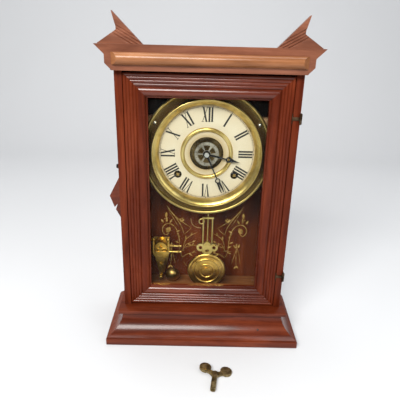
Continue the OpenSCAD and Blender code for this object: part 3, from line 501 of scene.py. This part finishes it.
# Bezel: a steep inner edge that curves over to a rolled outer edge
bezel_low, bezel_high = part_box("dial_bezel")
BEZEL_R = (bezel_high.x - bezel_low.x) / 2
BEZEL_WIDTH = 8.8 * MM
BEZEL_BORE = BEZEL_R - BEZEL_WIDTH
INNER_LIP = 0.8 * MM
FACE_R = 14 * MM
FACE_SHARE = 0.8  # share of the face's arc that shows beside the bead
BEAD_R = 1.1 * MM
BEAD_PROUD = 0.3 * MM
BEAD_START = -140  # degrees
seat_y = bezel_high.y
inner_edge = Vector((BEZEL_BORE, seat_y - INNER_LIP))
outer_edge = Vector((BEZEL_R, bezel_low.y + (BEAD_R - BEAD_PROUD)))
chord = outer_edge - inner_edge
across = Vector((-chord.y, chord.x)).normalized()
centre = (inner_edge + outer_edge) / 2 + across * math.sqrt(FACE_R ** 2 - (chord.length / 2) ** 2)
begin = math.degrees(math.atan2(inner_edge.y - centre.y, inner_edge.x - centre.x))
finish = math.degrees(math.atan2(outer_edge.y - centre.y, outer_edge.x - centre.x))
face = arc(centre, FACE_R, begin, begin + (finish - begin) * FACE_SHARE, 20)
bead = arc((BEZEL_R - BEAD_R, bezel_low.y + BEAD_R), BEAD_R, BEAD_START, 0, 12)
lathe("dial_bezel", [(BEZEL_BORE, seat_y)] + face + bead + [(BEZEL_R, seat_y)], brass)

# Centre ring: half round in section
ring_low, ring_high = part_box("dial_centre_ring")
RING_HALF = ring_high.y - ring_low.y
RING_R = (ring_high.x - ring_low.x) / 2 - RING_HALF
lathe("dial_centre_ring", arc((RING_R, ring_high.y), RING_HALF, -180, 0, 20), brass)

paint("pendulum_bob", brass_bob)
paint("dial_pan", brass_pan)
paint("alarm_frame", alarm_brass)
for n in ("hinge_case_leaves", "hinge_door_leaves"):
    paint(n, hinge_metal)
for n in ("movement_plate_front", "movement_plate_back", "hour_wheel", "minute_wheel"):
    paint(n, brass_work)
for n in ("movement_pillars", "pillar_nuts", "suspension_post", "time_winding_arbor", "time_great_wheel",
          "centre_arbor", "third_wheel", "escape_wheel", "strike_winding_arbor", "strike_great_wheel",
          "strike_pin_wheel", "alarm_bell"):
    paint(n, brass_old)
for n in ("minute_hand", "hour_hand"):
    dress(n, black, 0.15)
paint("catch_knob", black)
paint("alarm_disc", disc_silver)
for n in ("dial_screws", "strike_bell", "hand_nut"):
    paint(n, silver)
for n in ("verge", "strike_hammer"):
    paint(n, steel)
paint("alarm_hammer", alarm_brass)
paint("mainsprings", blued)
dress("winding_key", key_brass, 0.5)
paint("dial_paper", card)

# ---- Dial printing ----

dial = mid("dial_paper")
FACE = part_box("dial_paper")[0].y
HOUR_TURN = 30  # degrees


def turned(points, angle):
    """Points given as (sideways, radius), moved to a clock angle in degrees round the dial."""
    a = math.radians(angle)
    return [(dial.x + (r * math.sin(a) + s * math.cos(a)) * MM,
             dial.z + (r * math.cos(a) - s * math.sin(a)) * MM) for s, r in points]


NUMERALS = ["XII", "I", "II", "III", "IIII", "V", "VI", "VII", "VIII", "IX", "X", "XI"]
R_IN, R_OUT = 41.2, 58.2
THICK, THIN, SERIF = 2.2, 0.75, 0.55
SERIF_ROOT, SERIF_TIP = 1.7, 1.3  # half widths
WIDTH = {"I": 3.5, "V": 7.6, "X": 7.6}

print_ink = Sheet(FACE - 0.00009, FACE + PRINT_SINK)
for hour, text in enumerate(NUMERALS):
    total = sum(WIDTH[c] for c in text)
    x = -total / 2
    for c in text:
        w = WIDTH[c]
        m = x + w / 2
        h, k = R_OUT, R_IN
        if c == "I":
            shapes = [[(m - THICK / 2, k), (m + THICK / 2, k), (m + THICK / 2, h), (m - THICK / 2, h)]]
            serifs = [(m, h), (m, k)]
        elif c == "V":
            shapes = [[(m - 2.9, h), (m - 2.9 + THICK, h), (m + 0.45, k), (m - 0.45, k)],
                      [(m + 2.5, h), (m + 2.5 + THIN, h), (m + 0.45, k), (m - 0.1, k)]]
            serifs = [(m - 2.0, h), (m + 2.6, h)]
        else:
            shapes = [[(m - 3.0, h), (m - 3.0 + THICK, h), (m + 3.0, k), (m + 3.0 - THICK, k)],
                      [(m + 2.4, h), (m + 2.4 + THIN, h), (m - 2.4, k), (m - 2.4 - THIN, k)]]
            serifs = [(m - 2.1, h), (m + 2.6, h), (m - 2.6, k), (m + 2.1, k)]
        for s in shapes:
            print_ink.outline(turned(s, hour * HOUR_TURN))
        for sx, sr in serifs:
            e = SERIF if sr == h else -SERIF
            serif = [(sx - SERIF_ROOT, sr), (sx + SERIF_ROOT, sr),
                     (sx + SERIF_TIP, sr + e), (sx - SERIF_TIP, sr + e)]
            print_ink.outline(turned(serif, hour * HOUR_TURN))
        x += w
print_ink.done("dial_numerals", ink, "case")

# Minute track: a circle with a dot at each minute, larger at the hours
TRACK_R, TRACK_W = 59.5, 0.28
DOT_AT, HOUR_DOT, MINUTE_DOT = 59.9, 0.62, 0.45
MINUTE_TURN = 6  # degrees
track = Sheet(FACE - 0.00008, FACE + PRINT_SINK)
track.ring((dial.x, dial.z), TRACK_R * MM, TRACK_W * MM, 180)
for i in range(60):
    at = turned([(0, DOT_AT)], i * MINUTE_TURN)[0]
    track.disc(at, (HOUR_DOT if i % 5 == 0 else MINUTE_DOT) * MM, 10)
track.done("dial_minute_track", ink, "case")

# Alarm disc: two thin circles and a mark at each hour, doubled at every third
MARK_IN, MARK_OUT = 12.5, 14.7
MARK_HALF, MARK_GAP = 0.2, 0.9
DISC_TURN = 11  # degrees that the disc is set round from twelve
disc_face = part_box("alarm_disc")[0].y
marks = Sheet(disc_face - 0.00006, disc_face + PRINT_SINK)
for circle in (12.0, 15.1):
    marks.ring((dial.x, dial.z), circle * MM, 0.18 * MM, 90)
for i in range(12):
    strokes = 2 if i % 3 == 0 else 1
    for s in range(strokes):
        off = (s - (strokes - 1) / 2) * MARK_GAP
        mark = [(off - MARK_HALF, MARK_IN), (off + MARK_HALF, MARK_IN),
                (off + MARK_HALF, MARK_OUT), (off - MARK_HALF, MARK_OUT)]
        marks.outline(turned(mark, i * HOUR_TURN + DISC_TURN))
marks.done("alarm_disc_marks", ink_worn, "alarm_setting")

# ---- Gilt stencil on the inside of the glass ----

LINE_WEIGHT = 0.68  # share of the widths given to each scroll
glass_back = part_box("door_glass")[1].y
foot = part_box("door_rail_bottom")[1].z
left_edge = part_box("door_stile_left")[1].x
gold = Sheet(glass_back + 0.00002, glass_back + 0.00014)


def curve(p, n=14):
    """Points on a smooth curve through the given points."""
    if len(p) == 2:
        return p
    pts = [p[0]] + p + [p[-1]]
    out = []
    for i in range(1, len(pts) - 2):
        a, b, c, d = pts[i - 1], pts[i], pts[i + 1], pts[i + 2]
        for k in range(n):
            t = k / n
            out.append(tuple(
                0.5 * (2 * b[j] + (c[j] - a[j]) * t + (2 * a[j] - 5 * b[j] + 4 * c[j] - d[j]) * t * t
                       + (3 * b[j] - a[j] - 3 * c[j] + d[j]) * t ** 3) for j in (0, 1)))
    out.append(p[-1])
    return out


def scroll(points, widths):
    """A gilt line on both halves; points are millimetres in from the opening's edge and up from its foot."""
    for side in (-1, 1):
        pts = curve([(side * (-left_edge - x * MM), foot + z * MM) for x, z in points])
        n = len(pts)
        swell = [widths[0] + (widths[1] - widths[0]) * math.sin(math.pi * i / (n - 1)) for i in range(n)]
        gold.stroke(pts, [w * LINE_WEIGHT * MM for w in swell])


LEAF = ((0, 0), (0.25, 0.8), (0.5, 1), (0.8, 0.55), (1, 0), (0.8, -0.55), (0.5, -1), (0.25, -0.8))


def leaf(x, z, angle, length, width):
    """A pointed gilt leaf on both halves, from its stem at the point given."""
    a = math.radians(angle)
    for side in (-1, 1):
        pts = []
        for t, w in LEAF:
            u, v = t * length, w * width / 2
            pts.append((side * (-left_edge - (x + u * math.cos(a) - v * math.sin(a)) * MM),
                        foot + (z + u * math.sin(a) + v * math.cos(a)) * MM))
        gold.outline(pts)


def dot(x, z, r):
    """A gilt spot on both halves."""
    for side in (-1, 1):
        gold.disc((side * (-left_edge - x * MM), foot + z * MM), r * MM, 14)


# Two leaves that sweep from the fan's point towards the middle, with a stem between them
scroll([(21.7, 117.4), (29, 107), (38.6, 97.1), (54.3, 86.1)], (0.3, 1.3))
scroll([(54.3, 86.1), (49.5, 80.5), (44.7, 76.7)], (0.4, 0.8))
scroll([(23.1, 113.5), (32.7, 101.5), (40.9, 88.2), (44.7, 75.9)], (0.3, 1.2))
scroll([(24.5, 110), (31, 98.5), (36, 89)], (0.3, 0.7))
# The crook that curls over the bud, with its spray of small leaves
scroll([(43, 41), (39.7, 49.5), (38.6, 59), (38.2, 68.2), (35.2, 82), (29, 89.9), (21.8, 91.4), (16.6, 86.8),
        (16, 79.6), (19.8, 75), (23.8, 77.6), (23.8, 83.4), (20.6, 84.4)], (0.45, 1.3))
scroll([(44.5, 34.5), (48, 29), (53.5, 24.5)], (0.3, 0.7))
leaf(21.2, 78.6, 60, 9.5, 6.6)
for args in ((17.2, 92.6, 120, 6.5, 2.4), (21.4, 93.2, 88, 8.5, 2.6), (25.4, 92.6, 58, 6.5, 2.4),
             (20.4, 100.5, 84, 8.0, 3.4), (34.2, 79.5, 28, 6.5, 2.2), (37.8, 63, 150, 6, 2.0),
             (40.8, 94.2, 50, 6.5, 2.6), (40.8, 94.2, 110, 6.0, 2.4), (36.2, 75.6, -60, 5.0, 2.4)):
    leaf(*args)
for args in ((19, 98.6, 0.8), (28, 97.2, 0.8), (42, 99.6, 0.9), (36.4, 76.9, 1.2)):
    dot(*args)
# Sprays that reach out to the middle from the stem
scroll([(43.4, 53.1), (46.3, 66.7), (53.7, 74.5), (62.6, 79.4)], (0.35, 1.1))
scroll([(43.7, 53.1), (47.9, 61.2), (55.8, 64.6)], (0.35, 0.9))
scroll([(44.6, 55.6), (50, 58.2), (58.5, 60.0), (66.4, 60.0)], (0.35, 0.9))
scroll([(43.4, 41.4), (48.2, 45.6), (54, 47.8), (62.4, 48.6)], (0.35, 1.0))
scroll([(34.3, 50.8), (39.6, 52), (45.7, 51.7)], (0.3, 0.7))
for args in ((47.5, 68.5, 95, 6.0, 2.2), (53.7, 74.5, 70, 5.5, 2.0), (49.6, 62.4, -28, 6.0, 2.0),
             (55.8, 64.6, 30, 5.0, 2.0), (55, 59.3, 50, 5.0, 1.9), (52, 47, -38, 6.0, 2.0),
             (56, 48.1, 42, 5.5, 2.0), (39.8, 57, 155, 6.0, 2.2), (39.6, 50, 205, 5.5, 2.0)):
    leaf(*args)
# Tulip on its own stem near the foot
scroll([(26.9, 57.4), (27.2, 49), (27.4, 41), (26.3, 26.9)], (0.35, 0.9))
scroll([(26.9, 57.4), (30.2, 44.4), (32.8, 32.1)], (0.3, 0.8))
scroll([(26.9, 57.4), (23.6, 46.3), (21.3, 32.4)], (0.3, 0.8))
for args in ((25.4, 56.8, 105, 6.5, 2.4), (27.2, 57, 82, 7.0, 2.4), (28.6, 56.4, 58, 6.0, 2.2),
             (26.4, 29, 235, 6.0, 2.0), (26.6, 29, 300, 6.0, 2.0)):
    leaf(*args)
gold.done("glass_stencil", gilt, "door")

# ---- Small things seen inside and outside ----


def tube(name, points, radius, material, body, sides=10, closed=False):
    """A bent wire through the points, all in millimetres of the shared frame."""
    pts = [Vector(p) for p in points]
    verts, faces = [], []
    n = len(pts)
    for i, p in enumerate(pts):
        a, b = pts[i - 1 if (i or closed) else 0], pts[(i + 1) % n if (i < n - 1 or closed) else n - 1]
        d = (b - a).normalized()
        side = d.cross(Vector((0, 1, 0)))
        side = side.normalized() if side.length > 1e-4 else Vector((1, 0, 0))
        up = side.cross(d).normalized()
        for k in range(sides):
            t = 2 * math.pi * k / sides
            verts.append((p + (side * math.cos(t) + up * math.sin(t)) * radius) * MM)
    for i in range(n if closed else n - 1):
        for k in range(sides):
            a, b = i * sides + k, i * sides + (k + 1) % sides
            c, d2 = ((i + 1) % n) * sides + (k + 1) % sides, ((i + 1) % n) * sides + k
            faces.append((a, b, c, d2))
    if not closed:
        faces.append(tuple(range(sides - 1, -1, -1)))
        faces.append(tuple(range((n - 1) * sides, n * sides)))
    return mesh_piece(name, verts, faces, material, body, True)


def dome(name, at, axis, r, h, material, body, slot=0.0):
    """A round screw head: centre of its seat, direction it faces, radius and height in millimetres.

    With a slot, a black bar lies across the head: painted shade standing for the slot's groove.
    """
    axis = Vector(axis).normalized()
    side = axis.orthogonal().normalized()
    up = axis.cross(side)
    verts, faces = [], []
    rings, sides = 6, 24
    for i in range(rings):
        t = math.pi / 2 * i / rings
        for k in range(sides):
            a = 2 * math.pi * k / sides
            verts.append((Vector(at) + (side * math.cos(a) + up * math.sin(a)) * r * math.cos(t)
                          + axis * h * math.sin(t)) * MM)
    verts.append((Vector(at) + axis * h) * MM)
    for i in range(rings - 1):
        for k in range(sides):
            j = (k + 1) % sides
            faces.append((i * sides + k, i * sides + j, (i + 1) * sides + j, (i + 1) * sides + k))
    top = len(verts) - 1
    for k in range(sides):
        faces.append(((rings - 1) * sides + k, (rings - 1) * sides + (k + 1) % sides, top))
    faces.append(tuple(range(sides - 1, -1, -1)))
    o = mesh_piece(name, verts, faces, material, body, True)
    if slot:
        # painted shade: a black bar stands for the slot's groove
        w, t = r * 0.16, h * 1.02
        corners = [Vector(at) + side * sx * r * 0.86 + up * sy * w + axis * z
                   for z in (h * 0.35, t) for sx, sy in ((-1, -1), (1, -1), (1, 1), (-1, 1))]
        box_faces = [(3, 2, 1, 0), (4, 5, 6, 7), (0, 1, 5, 4), (1, 2, 6, 5), (2, 3, 7, 6), (3, 0, 4, 7)]
        mesh_piece(name + "_slot", [p * MM for p in corners], box_faces, black, body)
    return o


face_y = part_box("movement_plate_front")[0].y / MM
px = mid("pendulum_rods").x / MM

# Brass curl and a bent wire left of the rods, just under the dial
CURL_R, CURL_STEPS = 3.6, 24
CURL_X, CURL_Z = px - 8.9, 164.4
CURL_Y, WIRE_Y = face_y - 2.5, face_y - 2.2
curl_turns = [2 * math.pi * i / CURL_STEPS for i in range(CURL_STEPS)]
curl_points = [(CURL_X + CURL_R * math.cos(a), CURL_Y, CURL_Z + CURL_R * math.sin(a)) for a in curl_turns]
tube("strike_curl", curl_points, 0.8, brass, "case", 8, True)
wire_bends = ((24, 168.2), (22.3, 160.6), (18.5, 156.4), (14.5, 154.9), (9.8, 154.1))
tube("strike_wire", [(px - left, WIRE_Y, z) for left, z in wire_bends], 0.45, brass_old, "case", 8)

# Hinge screws: two in each case leaf, set in from its outer end
HEAD_R, HEAD_H = 1.3, 0.5
SCREW_BACK = 9.3
leaf_low, leaf_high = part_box("hinge_case_leaves")
for end_z, inward in ((leaf_low.z / MM, 1), (leaf_high.z / MM, -1)):
    for inset in (3.8, 9.8):
        dome(f"hinge_screw_{int(end_z)}_{int(inset)}",
             (leaf_high.x / MM, leaf_low.y / MM + SCREW_BACK, end_z + inward * inset), (1, 0, 0),
             HEAD_R, HEAD_H, hinge_metal, "case", 1)

# A nail in the front cove
cove_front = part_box("base_cove_front")[0].y / MM
dome("cove_nail", (78, cove_front + 11.2, 20.3), (0, -0.72, 0.69), HEAD_R, HEAD_H, black, "case")

# ---- Stage, light and camera ----


def plain(name, colour, rough):
    g = Graph(name)
    v = g.coords()
    c = g.ramp(g.noise(v, 3, 3, 0.5), [(0.3, tuple(x * 0.985 for x in colour)), (0.7, colour)])
    return g.surface(c, rough)


# Paper sweep: a level floor, a quarter turn and a wall behind
SWEEP_HALF = 4
SWEEP_FRONT, SWEEP_BACK = -3.0, 0.9
SWEEP_R, SWEEP_STEPS = 0.6, 12
SWEEP_TOP = 3.0
SWEEP_DROP = 0.0002  # keeps the paper clear of the clock's underside
backdrop = plain("backdrop_paper", (0.585, 0.595, 0.61), 0.9)
sweep = [math.pi / 2 * i / SWEEP_STEPS for i in range(1, SWEEP_STEPS + 1)]
profile = [(SWEEP_FRONT, 0.0), (SWEEP_BACK, 0.0)]
profile += [(SWEEP_BACK + SWEEP_R * math.sin(a), SWEEP_R - SWEEP_R * math.cos(a)) for a in sweep]
profile += [(SWEEP_BACK + SWEEP_R, SWEEP_TOP)]
verts, faces = [], []
for y, z in profile:
    verts += [(-SWEEP_HALF, y, z - SWEEP_DROP), (SWEEP_HALF, y, z - SWEEP_DROP)]
for i in range(len(profile) - 1):
    faces.append((2 * i, 2 * i + 1, 2 * i + 3, 2 * i + 2))
m = bpy.data.meshes.new("floor")
m.from_pydata(verts, [], faces)
m.materials.append(backdrop)
floor = bpy.data.objects.new("floor", m)
bpy.context.scene.collection.objects.link(floor)
for p in m.polygons:
    p.use_smooth = True

world = bpy.data.worlds.new("soft_room")
bpy.context.scene.world = world
world.use_nodes = True
sky = world.node_tree.nodes["Background"].inputs
sky["Color"].default_value = (0.90, 0.94, 1.0, 1)
sky["Strength"].default_value = 0.22
bpy.context.scene.view_settings.view_transform = "Standard"


def lamp(name, at, target, size, power, colour=(1, 1, 1)):
    d = bpy.data.lights.new(name, "AREA")
    d.shape = "RECTANGLE"
    d.size, d.size_y = size
    d.energy = power
    d.color = colour
    o = bpy.data.objects.new(name, d)
    o.location = at
    o.rotation_mode = "QUATERNION"
    o.rotation_quaternion = (Vector(target) - Vector(at)).to_track_quat("-Z", "Y")
    bpy.context.scene.collection.objects.link(o)


lamp("key_light", (-0.45, -1.35, 1.38), (0, 0, 0.18), (1.3, 0.6), 58, (1.0, 0.98, 0.95))
lamp("fill_light", (1.3, -1.0, 0.9), (0, 0, 0.2), (0.8, 1.0), 7, (0.95, 0.97, 1.0))
lamp("top_light", (0.1, 0.3, 1.9), (0, 0, 0.2), (1.6, 1.0), 19)

# Camera: where it stands, and how it is turned, pointed down and tipped sideways, in degrees
CAMERA_AT = Vector((-0.0119, -0.5175, 0.399))
CAMERA_YAW, CAMERA_PITCH, CAMERA_ROLL = 0.55, 21.4, 1.5
cam = bpy.data.cameras.new("camera")
cam.sensor_width = 36
cam.lens = 37.3
camera = bpy.data.objects.new("camera", cam)
bpy.context.scene.collection.objects.link(camera)
bpy.context.scene.camera = camera
yaw, pitch, roll = (math.radians(d) for d in (CAMERA_YAW, CAMERA_PITCH, CAMERA_ROLL))
forward = Vector((math.sin(yaw) * math.cos(pitch), math.cos(yaw) * math.cos(pitch), -math.sin(pitch)))
right = Vector((math.cos(yaw), -math.sin(yaw), 0))
upward = right.cross(forward)
x_axis = right * math.cos(roll) + upward * math.sin(roll)
y_axis = upward * math.cos(roll) - right * math.sin(roll)
turn = Matrix((x_axis, y_axis, -forward)).transposed().to_4x4()
camera.matrix_world = Matrix.Translation(CAMERA_AT) @ turn
